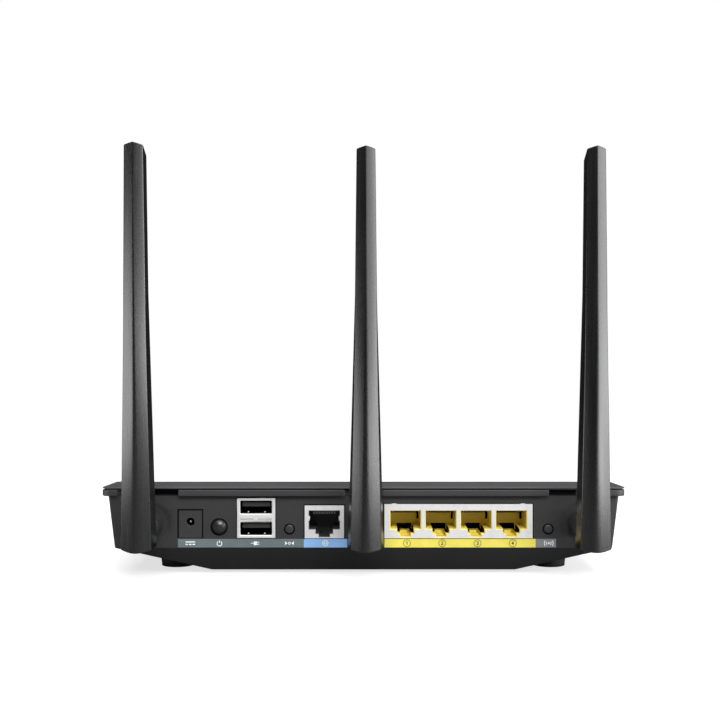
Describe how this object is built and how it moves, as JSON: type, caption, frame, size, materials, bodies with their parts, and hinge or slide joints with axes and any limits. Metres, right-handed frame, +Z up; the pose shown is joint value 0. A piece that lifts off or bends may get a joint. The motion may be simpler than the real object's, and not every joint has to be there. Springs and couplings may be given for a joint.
{
  "type": "wireless router",
  "caption": "Flat wedge-shaped router with a row of power, USB and network sockets at the back and folding blade antennas.",
  "frame": {"origin": "middle of the bounding box, at the height of the table", "axes": "+X to the right along the rear panel as seen from behind, -Y out of the sockets, +Z up"},
  "size_m": [0.207, 0.1916, 0.1647],
  "materials": {
    "case_plastic": "fine textured dark grey",
    "rim_plastic": "satin dark grey",
    "cover_plastic": "satin dark grey",
    "foot_rubber": "matt black",
    "screw_steel": "zinc plated",
    "board": "green solder mask",
    "heatsink_metal": "extruded",
    "shield_metal": "tinned",
    "capacitor": "can with a sleeve",
    "shell_metal": "bright plated",
    "wan_metal": "bright plated",
    "yellow_plastic": "moulded yellow",
    "black_plastic": "moulded black",
    "tongue_plastic": "moulded black",
    "contact_gold": "gold plated",
    "jack_plastic": "moulded black",
    "pin_metal": "nickel plated",
    "button_plastic": "polished dark grey",
    "small_button_plastic": "satin dark grey",
    "switch_plastic": "moulded black",
    "label_grey": "printed",
    "label_blue": "printed",
    "label_yellow": "printed",
    "label_pale": "printed",
    "clear_plastic": "clear light guide",
    "led_white": "white lamp",
    "socket_brass": "gold plated thread",
    "lead_jacket": "thin cable jacket",
    "collar_plastic": "satin black",
    "pin_steel": "ground pin",
    "blade_plastic": "semi-gloss black",
    "radiator_metal": "copper strip"
  },
  "bodies": {
    "case": {"lower_case": "case_plastic", "rim_frame": "rim_plastic", "top_cover": "cover_plastic", "foot_pad_rear_left": "foot_rubber", "foot_pad_rear_right": "foot_rubber", "foot_pad_front_left": "foot_rubber", "foot_pad_front_right": "foot_rubber", "case_screws": "screw_steel", "circuit_board": "board", "heatsink": "heatsink_metal", "shield_can_left": "shield_metal", "shield_can_right": "shield_metal", "capacitors": "capacitor", "lan_shell": "shell_metal", "lan_insert": "yellow_plastic", "lan_contacts": "contact_gold", "wan_shell": "wan_metal", "wan_insert": "black_plastic", "wan_contacts": "contact_gold", "usb_shell": "shell_metal", "usb_tongues": "tongue_plastic", "usb_contacts": "contact_gold", "dc_jack": "jack_plastic", "dc_pin": "pin_metal", "power_switch": "switch_plastic", "reset_switch": "switch_plastic", "pairing_switch": "switch_plastic", "label_left": "label_grey", "label_internet": "label_blue", "label_network": "label_yellow", "label_pairing": "label_pale", "light_pipe": "clear_plastic", "leds": "led_white", "antenna_jack_left": "socket_brass", "antenna_jack_middle": "socket_brass", "antenna_jack_right": "socket_brass", "jack_nut_left": "socket_brass", "jack_nut_middle": "socket_brass", "jack_nut_right": "socket_brass", "pigtail_left": "lead_jacket", "pigtail_middle": "lead_jacket", "pigtail_right": "lead_jacket"},
    "swivel_left": {"collar_left": "collar_plastic", "hinge_pin_left": "pin_steel"},
    "tilt_left": {"blade_left": "blade_plastic", "radiator_left": "radiator_metal"},
    "swivel_middle": {"collar_middle": "collar_plastic", "hinge_pin_middle": "pin_steel"},
    "tilt_middle": {"blade_middle": "blade_plastic", "radiator_middle": "radiator_metal"},
    "swivel_right": {"collar_right": "collar_plastic", "hinge_pin_right": "pin_steel"},
    "tilt_right": {"blade_right": "blade_plastic", "radiator_right": "radiator_metal"},
    "power_key": {"power_button": "button_plastic"},
    "reset_key": {"reset_button": "small_button_plastic"},
    "pairing_key": {"pairing_button": "small_button_plastic"}
  },
  "joints": [
    {"name": "antenna_swivel_left", "type": "hinge", "parent": "case", "child": "swivel_left", "pos_m": [-0.0842, -0.06096, 0.0212], "axis": [0, 1, 0], "range_deg": [-90.7, 14.3]},
    {"name": "antenna_tilt_left", "type": "hinge", "parent": "swivel_left", "child": "tilt_left", "pos_m": [-0.0842, -0.07796, 0.0212], "axis": [0.9999, 0, -0.0122], "range_deg": [-5, 85]},
    {"name": "antenna_swivel_middle", "type": "hinge", "parent": "case", "child": "swivel_middle", "pos_m": [0.0008, -0.06096, 0.0212], "axis": [0, 1, 0], "range_deg": [-15, 15]},
    {"name": "antenna_tilt_middle", "type": "hinge", "parent": "swivel_middle", "child": "tilt_middle", "pos_m": [0.0008, -0.07796, 0.0212], "axis": [1, 0, 0], "range_deg": [0, 90]},
    {"name": "antenna_swivel_right", "type": "hinge", "parent": "case", "child": "swivel_right", "pos_m": [0.0858, -0.06096, 0.0212], "axis": [0, 1, 0], "range_deg": [-15, 90]},
    {"name": "antenna_tilt_right", "type": "hinge", "parent": "swivel_right", "child": "tilt_right", "pos_m": [0.0858, -0.07796, 0.0212], "axis": [1, 0, 0], "range_deg": [0, 90]},
    {"name": "power_press", "type": "slide", "parent": "case", "child": "power_key", "axis": [0, 1, 0], "range_m": [0, 0.0015], "stiffness_N_per_m": 600},
    {"name": "reset_press", "type": "slide", "parent": "case", "child": "reset_key", "axis": [0, 1, 0], "range_m": [0, 0.0007], "stiffness_N_per_m": 800},
    {"name": "pairing_press", "type": "slide", "parent": "case", "child": "pairing_key", "axis": [0, 1, 0], "range_m": [0, 0.0007], "stiffness_N_per_m": 800}
  ]
}
